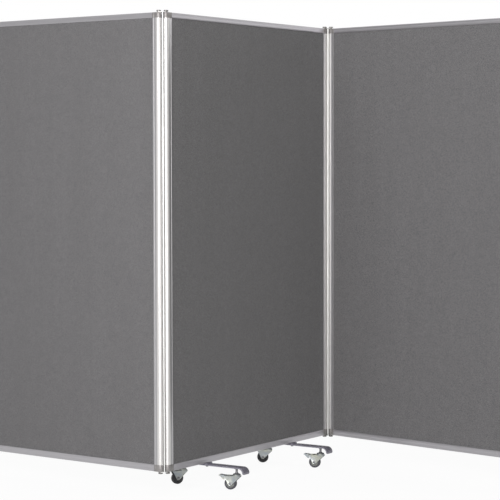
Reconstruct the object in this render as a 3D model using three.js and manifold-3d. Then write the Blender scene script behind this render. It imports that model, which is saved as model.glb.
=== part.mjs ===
import * as THREE from 'three';
import { mergeVertices } from 'three/addons/utils/BufferGeometryUtils.js';
import Module from 'manifold-3d';

// A three-panel folding privacy screen on castors, standing in a zigzag.
// Millimetres, +Z up, floor at Z 0. The middle panel runs along X and its front faces -Y.
// The left wing is folded back, to +Y, and the right wing is folded forward, to -Y.

// Panels
const panelWidth = 1200;
const panelHeight = 1800;
const panelThickness = 22;
const floorToPanel = 98;
const topRailHeight = 21;
const bottomRailHeight = 26.5;
const stileFlat = 24;
const profileWall = 2;
const edgeRound = 2.5;
const grooveDepth = 8;
const boardThickness = 15;
const fabricThickness = 1;
const seatGap = 0.3;
const tongueLength = 18;

// Hinges: two long pins joined by one link strip as tall as the panels
const pinSpacing = 28.5;
const pinRadius = 4.5;
const linkThickness = 5.5;
const linkDepth = 20;
const linkPlateThickness = 2.5;
const linkEyeRadius = 8.5;
const capRadius = 9.2;
const capHeight = 6;
const capRound = 2;

// How far each wing stands folded from straight
const leftFoldDegrees = 93.5;
const rightFoldDegrees = 100;

// Cross feet under the middle panel
const footSpacing = 640;
const footWidth = 45;
const footThickness = 5;
const footOverhang = 23;
const footTipRadius = 24;
const footTipDrop = 3;
const footPadThickness = 5;
const footPadLength = 45;
const footBoltRadius = 4;
const footBoltHeadRadius = 6.5;
const footBoltHeadHeight = 7;
const footBoltReach = 8;

// Castors
const frontStemPlace = -145;
const rearStemPlace = 122;
const wingCastorInset = 75;
const castorHeadingDegrees = {
  left_front_castor: 108,
  left_rear_castor: 150,
  right_front_castor: 107,
  right_rear_castor: 124,
  left_wing_castor: 124,
  right_wing_castor: 124,
};
const stemRadius = 5;
const stemNutRadius = 8;
const stemNutHeight = 4;
const stemCollarRadius = 7.5;
const stemCollarHeight = 2;
const stemRivetRadius = 8;
const stemRivetHeight = 1.8;
const wheelRadius = 25;
const wheelWidth = 19;
const wheelHubRadius = 15;
const wheelHubStep = 2.5;
const wheelShoulder = 3;
const trail = 25;
const axleRadius = 4;
const axleHeadRadius = 6;
const axleHeadHeight = 1.5;
const wheelSideGap = 2;
const forkWall = 2.2;
const wheelHeadroom = 5.5;
const forkTopWall = 2.5;
const forkFront = 16;
const forkRear = 25;
const forkEyeRadius = 8;
const forkSkirt = 6;
const headRadius = 16.5;
const headHeight = 8;
const headRound = 4;

// Brake pedals on the two front castors
const pedalPinRadius = 2;
const pedalPinAhead = 12;
const pedalPinDrop = 3.5;
const pedalWall = 2;
const pedalReach = 37;
const pedalRise = 7.5;
const pedalFlare = 26;
const pedalFlareStart = 14;
const pedalShoeAhead = 6;
const pedalShoeDrop = 7;
const pedalTipDrop = 5;

// Fineness of round shapes
const noseSegments = 12;
const boreSegments = 10;
const turnedSegments = 14;
const wheelSegments = 20;
const bendSegments = 6;

// One overrun serves every cut
const overrun = 5;

// Worked out from the driving dimensions
const noseRadius = panelThickness / 2;
const pivotHalf = panelWidth / 2 - noseRadius;
const panelTop = floorToPanel + panelHeight;
const clothThickness = boardThickness + 2 * (fabricThickness + seatGap);
const grooveWidth = clothThickness + 2 * seatGap;
const boreRadius = pinRadius + seatGap;
const railHalfLength = pivotHalf - stileFlat - seatGap;
const stileBottom = floorToPanel + bottomRailHeight + seatGap;
const stileTop = panelTop - topRailHeight - seatGap;
const chamberHalfWidth = panelThickness / 2 - profileWall;
const footTop = floorToPanel - seatGap - footPadThickness;
const footUnderside = footTop - footThickness;
const forkTopHeight = 2 * wheelRadius + wheelHeadroom + forkTopWall;
const headTop = forkTopHeight + headHeight;
const pedalPinHeight = forkTopHeight - pedalPinDrop;
const axleHeight = wheelRadius * Math.cos(Math.PI / wheelSegments);
const forkInnerHalf = wheelWidth / 2 + wheelSideGap;
const forkOuterHalf = forkInnerHalf + forkWall;

const wasm = await Module();
wasm.setup();

// Solids and meshes

function solidOf(geometry) {
  geometry.deleteAttribute('normal');
  geometry.deleteAttribute('uv');
  const merged = mergeVertices(geometry);
  const vertProperties = new Float32Array(merged.attributes.position.array);
  const triVerts = new Uint32Array(merged.index.array);
  return new wasm.Manifold(new wasm.Mesh({ numProp: 3, vertProperties, triVerts }));
}

function geometryOf(solid) {
  const mesh = solid.getMesh();
  const geometry = new THREE.BufferGeometry();
  geometry.setAttribute('position', new THREE.BufferAttribute(mesh.vertProperties, mesh.numProp));
  geometry.setIndex(new THREE.BufferAttribute(mesh.triVerts, 1));
  geometry.computeVertexNormals();
  return geometry;
}

function pieceOf(name, solid, material) {
  const piece = new THREE.Mesh(geometryOf(solid), material.clone());
  piece.name = name;
  return piece;
}

function boxBetween(low, high) {
  const size = high.map((value, i) => value - low[i]);
  const box = new THREE.BoxGeometry(...size);
  box.translate(...low.map((value, i) => value + size[i] / 2));
  return solidOf(box);
}

function extruded(shape, start, end, curveSegments) {
  const options = { depth: end - start, bevelEnabled: false, curveSegments };
  const prism = new THREE.ExtrudeGeometry(shape, options);
  prism.translate(0, 0, start);
  return prism;
}

// A plan outline in X and Y, raised from one height to another
function standing(shape, bottom, top, segments = noseSegments) {
  return solidOf(extruded(shape, bottom, top, segments));
}

// A section in Y and Z, run along X
function alongX(shape, start, end, segments = bendSegments) {
  const prism = extruded(shape, start, end, segments);
  const basis = [new THREE.Vector3(0, 1, 0), new THREE.Vector3(0, 0, 1), new THREE.Vector3(1, 0, 0)];
  prism.applyMatrix4(new THREE.Matrix4().makeBasis(...basis));
  return solidOf(prism);
}

// A side outline in X and Z, as wide along Y as twice the half width
function acrossY(shape, halfWidth, segments = bendSegments) {
  const prism = extruded(shape, -halfWidth, halfWidth, segments);
  const basis = [new THREE.Vector3(1, 0, 0), new THREE.Vector3(0, 0, 1), new THREE.Vector3(0, -1, 0)];
  prism.applyMatrix4(new THREE.Matrix4().makeBasis(...basis));
  return solidOf(prism);
}

// A profile of radius and height, turned about the Z axis
function turned(profile, segments = turnedSegments) {
  const points = profile.map(([radius, height]) => new THREE.Vector2(radius, height));
  const lathe = new THREE.LatheGeometry(points, segments);
  lathe.rotateX(Math.PI / 2);
  return solidOf(lathe);
}

function roundBar(radius, bottom, top, segments = turnedSegments) {
  return turned([[0, bottom], [radius, bottom], [radius, top], [0, top]], segments);
}

function barAlongY(radius, halfLength, x, z, segments = boreSegments) {
  const bar = new THREE.CylinderGeometry(radius, radius, 2 * halfLength, segments);
  bar.translate(x, 0, z);
  return solidOf(bar);
}

function outlineOf(points) {
  return new THREE.Shape(points.map(([x, y]) => new THREE.Vector2(x, y)));
}

// Materials

const aluminium = new THREE.MeshStandardMaterial({ color: 0xb4b4b2, roughness: 0.35, metalness: 0.9 });
const brightFinish = { color: 0xe2e2de, roughness: 0.25, metalness: 0.9 };
const brightAluminium = new THREE.MeshStandardMaterial(brightFinish);
const cornerGrey = new THREE.MeshStandardMaterial({ color: 0x8f8c8b, roughness: 0.5, metalness: 0.3 });
const cloth = new THREE.MeshStandardMaterial({ color: 0x6f6e70, roughness: 0.95, metalness: 0 });
const fibreboard = new THREE.MeshStandardMaterial({ color: 0xb08e62, roughness: 0.9, metalness: 0 });
const footGrey = new THREE.MeshStandardMaterial({ color: 0x84828c, roughness: 0.45, metalness: 0.5 });
const zinc = new THREE.MeshStandardMaterial({ color: 0xc4c8c2, roughness: 0.3, metalness: 0.9 });
const greyTyre = new THREE.MeshStandardMaterial({ color: 0x55565a, roughness: 0.7, metalness: 0 });
const blackTyre = new THREE.MeshStandardMaterial({ color: 0x1c1c1e, roughness: 0.7, metalness: 0 });

// Frame profiles. A stile or corner block points its round nose along the given side, +1 or -1.

// The outside of a stile in plan, with its pin axis at the origin
function noseOutline(side) {
  const shape = new THREE.Shape();
  shape.moveTo(-side * stileFlat, -side * noseRadius);
  shape.lineTo(0, -side * noseRadius);
  const start = -side * Math.PI / 2;
  shape.absarc(0, 0, noseRadius, start, start + Math.PI, false);
  shape.lineTo(-side * stileFlat, side * noseRadius);
  return shape;
}

// Two distances from the pin axis, measured away from the nose, as rising X values
function inward(side, near, far) {
  return [-side * near, -side * far].sort((a, b) => a - b);
}

function stileSolid(side) {
  const grooveBottom = stileFlat - grooveDepth;
  const chamber = inward(side, boreRadius + profileWall, grooveBottom - profileWall);
  const groove = inward(side, grooveBottom, stileFlat + overrun);
  const chamberCut = boxBetween(
    [chamber[0], -chamberHalfWidth, stileBottom - overrun],
    [chamber[1], chamberHalfWidth, stileTop + overrun],
  );
  const grooveCut = boxBetween(
    [groove[0], -grooveWidth / 2, stileBottom - overrun],
    [groove[1], grooveWidth / 2, stileTop + overrun],
  );
  const bore = roundBar(boreRadius, stileBottom - overrun, stileTop + overrun, boreSegments);
  const stile = standing(noseOutline(side), stileBottom, stileTop);
  return stile.subtract(chamberCut).subtract(grooveCut).subtract(bore);
}

// The outside of a rail in Y and Z, rounded on its outer edge
function railOutline(innerEdge, outerEdge) {
  const outward = Math.sign(outerEdge - innerEdge);
  const half = panelThickness / 2;
  const shape = new THREE.Shape();
  shape.moveTo(-half, innerEdge);
  shape.lineTo(-half, outerEdge - outward * edgeRound);
  shape.quadraticCurveTo(-half, outerEdge, -half + edgeRound, outerEdge);
  shape.lineTo(half - edgeRound, outerEdge);
  shape.quadraticCurveTo(half, outerEdge, half, outerEdge - outward * edgeRound);
  shape.lineTo(half, innerEdge);
  return shape;
}

function chamberLevels(innerEdge, outerEdge) {
  const outward = Math.sign(outerEdge - innerEdge);
  const near = innerEdge + outward * (grooveDepth + profileWall);
  const far = outerEdge - outward * profileWall;
  return [Math.min(near, far), Math.max(near, far)];
}

function grooveLevels(innerEdge, outerEdge) {
  const outward = Math.sign(outerEdge - innerEdge);
  const open = innerEdge - outward * overrun;
  const bottom = innerEdge + outward * grooveDepth;
  return [Math.min(open, bottom), Math.max(open, bottom)];
}

function railSolid(innerEdge, outerEdge) {
  const [chamberLow, chamberHigh] = chamberLevels(innerEdge, outerEdge);
  const [grooveLow, grooveHigh] = grooveLevels(innerEdge, outerEdge);
  const end = railHalfLength + overrun;
  const grooveHalf = grooveWidth / 2;
  const chamberCut = boxBetween(
    [-end, -chamberHalfWidth, chamberLow],
    [end, chamberHalfWidth, chamberHigh],
  );
  const grooveCut = boxBetween([-end, -grooveHalf, grooveLow], [end, grooveHalf, grooveHigh]);
  const rail = alongX(railOutline(innerEdge, outerEdge), -railHalfLength, railHalfLength);
  return rail.subtract(chamberCut).subtract(grooveCut);
}

// A corner block carries the pin through its bore and has a tongue in the rail's hollow
function cornerSolid(side, innerEdge, outerEdge) {
  const low = Math.min(innerEdge, outerEdge);
  const high = Math.max(innerEdge, outerEdge);
  const block = standing(noseOutline(side), low, high);
  const [chamberLow, chamberHigh] = chamberLevels(innerEdge, outerEdge);
  const tongueHalf = chamberHalfWidth - seatGap;
  const tongueEnds = inward(side, stileFlat - overrun, stileFlat + tongueLength);
  const tongue = boxBetween(
    [tongueEnds[0], -tongueHalf, chamberLow + seatGap],
    [tongueEnds[1], tongueHalf, chamberHigh - seatGap],
  );
  const bore = roundBar(boreRadius, low - overrun, high + overrun, boreSegments);
  const pocketEnds = inward(side, stileFlat - grooveDepth, stileFlat + overrun);
  const [pocketLow, pocketHigh] = grooveLevels(innerEdge, outerEdge);
  const pocketHalf = grooveWidth / 2;
  const pocket = boxBetween(
    [pocketEnds[0], -pocketHalf, pocketLow],
    [pocketEnds[1], pocketHalf, pocketHigh],
  );
  return block.subtract(pocket).add(tongue).subtract(bore);
}

// One panel about its own middle: board, cloth cover, rails, stiles and corner blocks

function boardSize() {
  const half = pivotHalf - stileFlat + grooveDepth - seatGap - fabricThickness - seatGap;
  const low = floorToPanel + bottomRailHeight - grooveDepth + seatGap;
  const high = panelTop - topRailHeight + grooveDepth - seatGap;
  return { half, low, high };
}

function boardSolid() {
  const { half, low, high } = boardSize();
  return boxBetween([-half, -boardThickness / 2, low], [half, boardThickness / 2, high]);
}

// The cloth wraps round the board and is open at the top and the bottom, inside the grooves
function coverSolid() {
  const { half, low, high } = boardSize();
  const inner = [half + seatGap, boardThickness / 2 + seatGap];
  const outer = [inner[0] + fabricThickness, inner[1] + fabricThickness];
  const sleeve = boxBetween([-outer[0], -outer[1], low], [outer[0], outer[1], high]);
  const inside = boxBetween([-inner[0], -inner[1], low - overrun], [inner[0], inner[1], high + overrun]);
  return sleeve.subtract(inside);
}

function drilledRail(rail, places) {
  let drilled = rail;
  for (const [x, radius] of places) {
    const reach = bottomRailHeight - grooveDepth - profileWall;
    const hole = roundBar(radius, floorToPanel - overrun, floorToPanel + reach, boreSegments);
    drilled = drilled.subtract(hole.translate([x, 0, 0]));
  }
  return drilled;
}

function panelGroup(name, drillings) {
  const group = new THREE.Group();
  const bottomInner = floorToPanel + bottomRailHeight;
  const topInner = panelTop - topRailHeight;
  group.add(pieceOf(`${name}_board`, boardSolid(), fibreboard));
  group.add(pieceOf(`${name}_fabric`, coverSolid(), cloth));
  group.add(pieceOf(`${name}_top_rail`, railSolid(topInner, panelTop), aluminium));
  const bottomRail = drilledRail(railSolid(bottomInner, floorToPanel), drillings);
  group.add(pieceOf(`${name}_bottom_rail`, bottomRail, aluminium));
  for (const [word, side] of [['left', -1], ['right', 1]]) {
    const pieces = [
      pieceOf(`${name}_${word}_stile`, stileSolid(side), brightAluminium),
      pieceOf(`${name}_${word}_top_corner`, cornerSolid(side, topInner, panelTop), cornerGrey),
      pieceOf(`${name}_${word}_bottom_corner`, cornerSolid(side, bottomInner, floorToPanel), cornerGrey),
    ];
    for (const piece of pieces) {
      piece.position.x = side * pivotHalf;
      group.add(piece);
    }
  }
  return group;
}

// Hinges

// A long pin with a domed cap above and below the link's end plates
function pinSolid() {
  const bottom = floorToPanel - 2 * seatGap - linkPlateThickness;
  const top = panelTop + 2 * seatGap + linkPlateThickness;
  return turned([
    [0, bottom - capHeight],
    [capRadius - capRound, bottom - capHeight],
    [capRadius, bottom - capHeight + capRound],
    [capRadius, bottom],
    [pinRadius, bottom],
    [pinRadius, top],
    [capRadius, top],
    [capRadius, top + capHeight - capRound],
    [capRadius - capRound, top + capHeight],
    [0, top + capHeight],
  ]);
}

// The link strip: a blade between the noses, and a two-eyed plate at each end. Its first pin is the origin.
function linkSolid(side) {
  const bottom = floorToPanel - seatGap - linkPlateThickness;
  const top = panelTop + seatGap + linkPlateThickness;
  const middle = side * pinSpacing / 2;
  const blade = new THREE.Shape();
  const halfThickness = linkThickness / 2;
  const straight = linkDepth / 2 - halfThickness;
  blade.moveTo(middle - halfThickness, -straight);
  blade.absarc(middle, -straight, halfThickness, Math.PI, 2 * Math.PI, false);
  blade.absarc(middle, straight, halfThickness, 0, Math.PI, false);
  let link = standing(blade, bottom, top, bendSegments);
  for (const low of [bottom, top - linkPlateThickness]) {
    const high = low + linkPlateThickness;
    const webEnds = [middle - pinSpacing / 2, middle + pinSpacing / 2];
    const web = boxBetween([webEnds[0], -halfThickness, low], [webEnds[1], halfThickness, high]);
    link = link.add(web);
    for (const x of [0, side * pinSpacing]) {
      const eye = roundBar(linkEyeRadius, low, high).translate([x, 0, 0]);
      link = link.add(eye);
    }
    for (const x of [0, side * pinSpacing]) {
      const hole = roundBar(boreRadius, low - overrun, high + overrun, boreSegments).translate([x, 0, 0]);
      link = link.subtract(hole);
    }
  }
  return link;
}

// Feet

// The foot strip in Y and Z: flat in the middle, and bent down through a quarter turn at each end
function footOutline() {
  const shape = new THREE.Shape();
  const front = frontStemPlace - footOverhang;
  const rear = rearStemPlace + footOverhang;
  const innerRadius = footTipRadius - footThickness;
  const centreHeight = footTop - footTipRadius;
  const tipHeight = centreHeight - footTipDrop;
  shape.moveTo(front, footTop);
  shape.absarc(front, centreHeight, footTipRadius, Math.PI / 2, Math.PI, false);
  shape.lineTo(front - footTipRadius, tipHeight);
  shape.lineTo(front - innerRadius, tipHeight);
  shape.absarc(front, centreHeight, innerRadius, Math.PI, Math.PI / 2, true);
  shape.absarc(rear, centreHeight, innerRadius, Math.PI / 2, 0, true);
  shape.lineTo(rear + innerRadius, tipHeight);
  shape.lineTo(rear + footTipRadius, tipHeight);
  shape.absarc(rear, centreHeight, footTipRadius, 0, Math.PI / 2, false);
  return shape;
}

function footSolid() {
  const strip = alongX(footOutline(), -footWidth / 2, footWidth / 2);
  const padHalf = panelThickness / 2;
  const pad = boxBetween(
    [-footPadLength / 2, -padHalf, footTop - footThickness / 2],
    [footPadLength / 2, padHalf, footTop + footPadThickness],
  );
  let foot = strip.add(pad);
  const low = footUnderside - overrun;
  const high = footTop + footPadThickness + overrun;
  foot = foot.subtract(roundBar(footBoltRadius + seatGap, low, high, boreSegments));
  for (const y of [frontStemPlace, rearStemPlace]) {
    const hole = roundBar(stemRadius + seatGap, low, high, boreSegments).translate([0, y, 0]);
    foot = foot.subtract(hole);
  }
  return foot;
}

// The bolt goes up through the foot into the rail's hollow, with its domed head below
function footBoltSolid() {
  const seat = footUnderside - seatGap;
  const crown = footBoltHeadRadius / 2;
  return turned([
    [0, seat - footBoltHeadHeight],
    [crown, seat - footBoltHeadHeight],
    [footBoltHeadRadius, seat - crown],
    [footBoltHeadRadius, seat],
    [footBoltRadius, seat],
    [footBoltRadius, floorToPanel + footBoltReach],
    [0, floorToPanel + footBoltReach],
  ]);
}

// Castors. The stem is the Z axis and the wheel trails along +X.

function stemSolid(seat, reach) {
  const rivetTop = forkTopHeight - forkTopWall - seatGap;
  const collarBottom = headTop + seatGap;
  return turned([
    [0, rivetTop - stemRivetHeight],
    [stemRivetRadius, rivetTop - stemRivetHeight],
    [stemRivetRadius, rivetTop],
    [stemRadius, rivetTop],
    [stemRadius, collarBottom],
    [stemCollarRadius, collarBottom],
    [stemCollarRadius, collarBottom + stemCollarHeight],
    [stemRadius, collarBottom + stemCollarHeight],
    [stemRadius, seat - seatGap - stemNutHeight],
    [stemNutRadius, seat - seatGap - stemNutHeight],
    [stemNutRadius, seat - seatGap],
    [stemRadius, seat - seatGap],
    [stemRadius, seat + reach],
    [0, seat + reach],
  ]);
}

// One leg seen from the side: wide under the head and narrow at the axle
function legOutline() {
  const shape = new THREE.Shape();
  shape.moveTo(-forkFront, forkTopHeight);
  shape.lineTo(-forkFront, forkTopHeight - forkSkirt);
  shape.lineTo(trail - forkEyeRadius, axleHeight);
  shape.absarc(trail, axleHeight, forkEyeRadius, Math.PI, 2 * Math.PI, false);
  shape.lineTo(trail + forkRear, forkTopHeight - forkSkirt / 2);
  shape.lineTo(trail + forkRear, forkTopHeight);
  return shape;
}

function forkSolid(braked) {
  const solidFork = acrossY(legOutline(), forkOuterHalf);
  const topUnderside = forkTopHeight - forkTopWall;
  const inside = boxBetween(
    [-forkFront - overrun, -forkInnerHalf, -overrun],
    [trail + forkRear + overrun, forkInnerHalf, topUnderside],
  );
  let fork = solidFork.subtract(inside);
  if (braked) {
    const window = boxBetween(
      [headRadius + seatGap, -forkInnerHalf, topUnderside - overrun],
      [trail + forkRear + overrun, forkInnerHalf, forkTopHeight + overrun],
    );
    const holeRadius = pedalPinRadius + seatGap;
    const pinHole = barAlongY(holeRadius, forkOuterHalf + overrun, trail + pedalPinAhead, pedalPinHeight);
    fork = fork.subtract(window).subtract(pinHole);
  }
  const head = turned([
    [0, forkTopHeight - forkTopWall],
    [headRadius, forkTopHeight - forkTopWall],
    [headRadius, headTop - headRound],
    [headRadius - headRound / 2, headTop - headRound / 3],
    [headRadius - 2 * headRound, headTop],
    [0, headTop],
  ]);
  fork = fork.add(head);
  const stemHole = roundBar(stemRadius + seatGap, topUnderside - overrun, headTop + overrun, boreSegments);
  fork = fork.subtract(stemHole);
  const axle = barAlongY(axleRadius, forkOuterHalf, trail, axleHeight);
  const axleHeads = barAlongY(axleHeadRadius, forkOuterHalf + axleHeadHeight, trail, axleHeight);
  const betweenHeads = boxBetween(
    [-overrun, -forkOuterHalf + forkWall / 2, 0],
    [trail + forkRear + overrun, forkOuterHalf - forkWall / 2, 2 * wheelRadius],
  );
  return fork.add(axle).add(axleHeads.subtract(betweenHeads));
}

// Tyre and hub in one turning piece, with a recessed side
function wheelSolid() {
  const half = wheelWidth / 2;
  const bore = axleRadius + seatGap;
  const recess = half - wheelHubStep;
  const profile = [
    [bore, -recess],
    [wheelHubRadius, -recess],
    [wheelHubRadius + wheelHubStep, -half],
    [wheelRadius - wheelShoulder, -half],
    [wheelRadius, -half + wheelShoulder],
    [wheelRadius, half - wheelShoulder],
    [wheelRadius - wheelShoulder, half],
    [wheelHubRadius + wheelHubStep, half],
    [wheelHubRadius, recess],
    [bore, recess],
    [bore, -recess],
  ];
  const points = profile.map(([radius, height]) => new THREE.Vector2(radius, height));
  const lathe = new THREE.LatheGeometry(points, wheelSegments);
  lathe.rotateY(Math.PI / wheelSegments);
  return solidOf(lathe);
}

// A pedal between the fork's legs, with its own pin, a flared tread and a shoe over the tyre.
// Its pin is the origin.
function pedalSolid() {
  const armHalf = forkInnerHalf - seatGap;
  const flareShoulder = forkInnerHalf + forkWall;
  const side = outlineOf([
    [-pedalWall, pedalWall],
    [-pedalWall, -pedalPinRadius],
    [pedalShoeAhead / 2, -pedalPinRadius],
    [pedalShoeAhead, -pedalShoeDrop],
    [pedalShoeAhead + pedalWall, -pedalShoeDrop + pedalWall],
    [pedalFlareStart, pedalRise - pedalWall - pedalWall],
    [pedalReach - pedalTipDrop, pedalRise - pedalWall],
    [pedalReach, pedalRise - pedalTipDrop],
    [pedalReach, pedalRise - pedalTipDrop + pedalWall],
    [pedalReach - pedalTipDrop, pedalRise],
    [pedalFlareStart, pedalRise - pedalWall],
  ]);
  const plate = acrossY(side, pedalFlare / 2);
  const plan = outlineOf([
    [-pedalReach, -armHalf],
    [pedalFlareStart, -armHalf],
    [pedalFlareStart + flareShoulder - armHalf, -pedalFlare / 2],
    [pedalReach + overrun, -pedalFlare / 2],
    [pedalReach + overrun, pedalFlare / 2],
    [pedalFlareStart + flareShoulder - armHalf, pedalFlare / 2],
    [pedalFlareStart, armHalf],
    [-pedalReach, armHalf],
  ]);
  const trimmed = plate.intersect(standing(plan, -pedalReach, pedalReach));
  return trimmed.add(barAlongY(pedalPinRadius, forkOuterHalf, 0, 0));
}

// A castor with its stem in the seat above it. Its heading is turned back by what carries it.
function castorGroup(name, seat, reach, carrierTurn, tyre, braked) {
  const group = new THREE.Group();
  group.add(pieceOf(`${name}_stem`, stemSolid(seat, reach), zinc));
  const swivel = new THREE.Group();
  swivel.rotation.z = THREE.MathUtils.degToRad(castorHeadingDegrees[name]) - carrierTurn;
  swivel.add(pieceOf(`${name}_fork`, forkSolid(braked), zinc));
  const wheel = pieceOf(`${name}_wheel`, wheelSolid(), tyre);
  wheel.position.set(trail, 0, axleHeight);
  swivel.add(wheel);
  if (braked) {
    const pedal = pieceOf(`${name}_brake_pedal`, pedalSolid(), zinc);
    pedal.position.set(trail + pedalPinAhead, 0, pedalPinHeight);
    swivel.add(pedal);
  }
  group.add(swivel);
  return group;
}

// The whole screen

function middleAssembly() {
  const group = panelGroup('middle', [
    [-footSpacing / 2, footBoltRadius + seatGap],
    [footSpacing / 2, footBoltRadius + seatGap],
  ]);
  for (const [word, side] of [['left', -1], ['right', 1]]) {
    const foot = new THREE.Group();
    foot.position.x = side * footSpacing / 2;
    foot.add(pieceOf(`${word}_foot`, footSolid(), footGrey));
    foot.add(pieceOf(`${word}_foot_bolt`, footBoltSolid(), zinc));
    const front = castorGroup(`${word}_front_castor`, footUnderside, footThickness, 0, greyTyre, true);
    front.position.y = frontStemPlace;
    const rear = castorGroup(`${word}_rear_castor`, footUnderside, footThickness, 0, blackTyre, false);
    rear.position.y = rearStemPlace;
    foot.add(front, rear);
    group.add(foot);
    const pin = pieceOf(`${word}_inner_pin`, pinSolid(), brightAluminium);
    pin.position.x = side * pivotHalf;
    group.add(pin);
  }
  return group;
}

function wingAssembly(word, side, turn) {
  const group = new THREE.Group();
  const castorPlace = side * (pivotHalf - wingCastorInset);
  const panel = panelGroup(`${word}_wing`, [[castorPlace, stemRadius + seatGap]]);
  const reach = bottomRailHeight - grooveDepth - 2 * profileWall;
  const castor = castorGroup(`${word}_wing_castor`, floorToPanel, reach, turn, blackTyre, false);
  castor.position.x = castorPlace;
  panel.add(castor);
  panel.position.x = side * pivotHalf;
  group.add(panel);
  group.add(pieceOf(`${word}_outer_pin`, pinSolid(), brightAluminium));
  return group;
}

// The link takes half of the fold and the wing takes the other half
function foldedWing(word, side, fold) {
  const halfTurn = -THREE.MathUtils.degToRad(fold) / 2;
  const link = new THREE.Group();
  link.position.x = side * pivotHalf;
  link.rotation.z = halfTurn;
  link.add(pieceOf(`${word}_link`, linkSolid(side), brightAluminium));
  const wing = wingAssembly(word, side, 2 * halfTurn);
  wing.position.x = side * pinSpacing;
  wing.rotation.z = halfTurn;
  link.add(wing);
  return link;
}

const screen = new THREE.Group();
screen.add(middleAssembly());
screen.add(foldedWing('left', -1, leftFoldDegrees));
screen.add(foldedWing('right', 1, rightFoldDegrees));

// The origin is on the floor under the middle of the screen's box
screen.updateMatrixWorld(true);
const centre = new THREE.Box3().setFromObject(screen, true).getCenter(new THREE.Vector3());
screen.position.set(-centre.x, -centre.y, 0);

export default screen;
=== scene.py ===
# %% [markdown]
# # A folding ward screen on castors
# Three cloth-covered panels stand in a zigzag. The middle one is carried by two cross feet, and each wing
# hangs on it by a hinge as tall as the panel. Every solid of the frame model is already in its place, in
# metres, so this lesson only dresses it: each cell measures a solid and builds the real piece round it.

# %% Load the frame model
import math

import bmesh
import bpy
from mathutils import Matrix, Vector, noise


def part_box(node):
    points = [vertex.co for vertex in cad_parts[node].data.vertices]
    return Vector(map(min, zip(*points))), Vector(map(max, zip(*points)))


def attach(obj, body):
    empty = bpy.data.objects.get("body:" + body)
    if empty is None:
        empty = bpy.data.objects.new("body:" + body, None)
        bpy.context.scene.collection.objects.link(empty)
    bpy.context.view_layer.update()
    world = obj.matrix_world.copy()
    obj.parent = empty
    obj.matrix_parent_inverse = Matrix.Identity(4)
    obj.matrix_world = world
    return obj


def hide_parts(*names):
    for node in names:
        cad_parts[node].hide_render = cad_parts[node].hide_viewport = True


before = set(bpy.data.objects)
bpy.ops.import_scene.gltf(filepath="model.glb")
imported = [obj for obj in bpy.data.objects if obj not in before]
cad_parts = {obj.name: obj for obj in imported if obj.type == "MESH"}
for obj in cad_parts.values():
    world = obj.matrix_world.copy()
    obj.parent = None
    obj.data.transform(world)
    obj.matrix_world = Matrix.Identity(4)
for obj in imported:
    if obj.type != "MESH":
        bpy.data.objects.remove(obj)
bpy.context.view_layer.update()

mm = 0.001

# %% [markdown]
# ## Where things stand
# The wings stand at odd angles, so a piece of a wing is easier to make lying straight, about the middle of
# its own panel, and then to turn into place. One matrix per panel, link and castor does that. The angles
# are measured between the hinge pins and the rails, so nothing is typed in twice.

# %% Measure the seats of panels, links and castors


def middle_of(node):
    low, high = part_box(node)
    return (low + high) / 2


def seat_at(point, along):
    """A level seat at a point in plan, with its X axis along the given direction."""
    turn = math.atan2(along.y, along.x)
    return Matrix.Translation((point.x, point.y, 0)) @ Matrix.Rotation(turn, 4, "Z")


SIDES = {"left": -1, "right": 1}
PANELS = {"middle": "middle_panel", "left_wing": "left_wing", "right_wing": "right_wing"}
panel_middle = {panel: middle_of(f"{panel}_top_rail") for panel in PANELS}
panel_seat = {
    "middle": seat_at(panel_middle["middle"], Vector((1, 0))),
    "left_wing": seat_at(
        panel_middle["left_wing"], middle_of("left_outer_pin") - panel_middle["left_wing"]),
    "right_wing": seat_at(
        panel_middle["right_wing"], panel_middle["right_wing"] - middle_of("right_outer_pin")),
}
CASTORS = {
    "left_front_castor": "middle_panel",
    "left_rear_castor": "middle_panel",
    "right_front_castor": "middle_panel",
    "right_rear_castor": "middle_panel",
    "left_wing_castor": "left_wing",
    "right_wing_castor": "right_wing",
}
castor_seat = {}
for castor in CASTORS:
    stem_middle = middle_of(f"{castor}_stem")
    castor_seat[castor] = seat_at(stem_middle, middle_of(f"{castor}_wheel") - stem_middle)
pivot_half = (middle_of("right_inner_pin").x - middle_of("left_inner_pin").x) / 2
print("pivots", round(2 * pivot_half, 4), "m apart;", len(castor_seat), "castors")

# %% [markdown]
# ## The camera
# The photograph was taken with a long lens from the left of the screen, a little above the middle of the
# panels. The place and angles come from fitting the panel edges, the pins and the wheels, so they are kept
# as numbers here, measured from the middle of the middle panel.

# %% Set the camera
CAMERA_FROM_PANEL = Vector((-6.5677, -4.4004, 1.3390))
CAMERA_YAW = math.radians(-56.158)
CAMERA_PITCH = math.radians(2.842)
CAMERA_ROLL = math.radians(-0.105)
SENSOR_MM = 36
FOCAL_PIXELS = 1895.7
FRAME_PIXELS = 500

right = Vector((math.cos(CAMERA_YAW), math.sin(CAMERA_YAW), 0))
forward = Vector((-math.sin(CAMERA_YAW), math.cos(CAMERA_YAW), 0)) * math.cos(CAMERA_PITCH)
forward.z = -math.sin(CAMERA_PITCH)
up = right.cross(forward)
rolled_right = right * math.cos(CAMERA_ROLL) + up * math.sin(CAMERA_ROLL)
rolled_up = up * math.cos(CAMERA_ROLL) - right * math.sin(CAMERA_ROLL)
camera_data = bpy.data.cameras.new("photo_camera")
camera_data.sensor_width = SENSOR_MM
camera_data.lens = FOCAL_PIXELS * SENSOR_MM / FRAME_PIXELS
camera_data.clip_end = 100
camera = bpy.data.objects.new("photo_camera", camera_data)
bpy.context.scene.collection.objects.link(camera)
axes = Matrix((rolled_right, rolled_up, -forward)).transposed().to_4x4()
base = Vector((panel_middle["middle"].x, panel_middle["middle"].y, 0))
camera.matrix_world = Matrix.Translation(base + CAMERA_FROM_PANEL) @ axes
bpy.context.scene.camera = camera
print("lens", round(camera_data.lens, 1), "mm")

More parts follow.
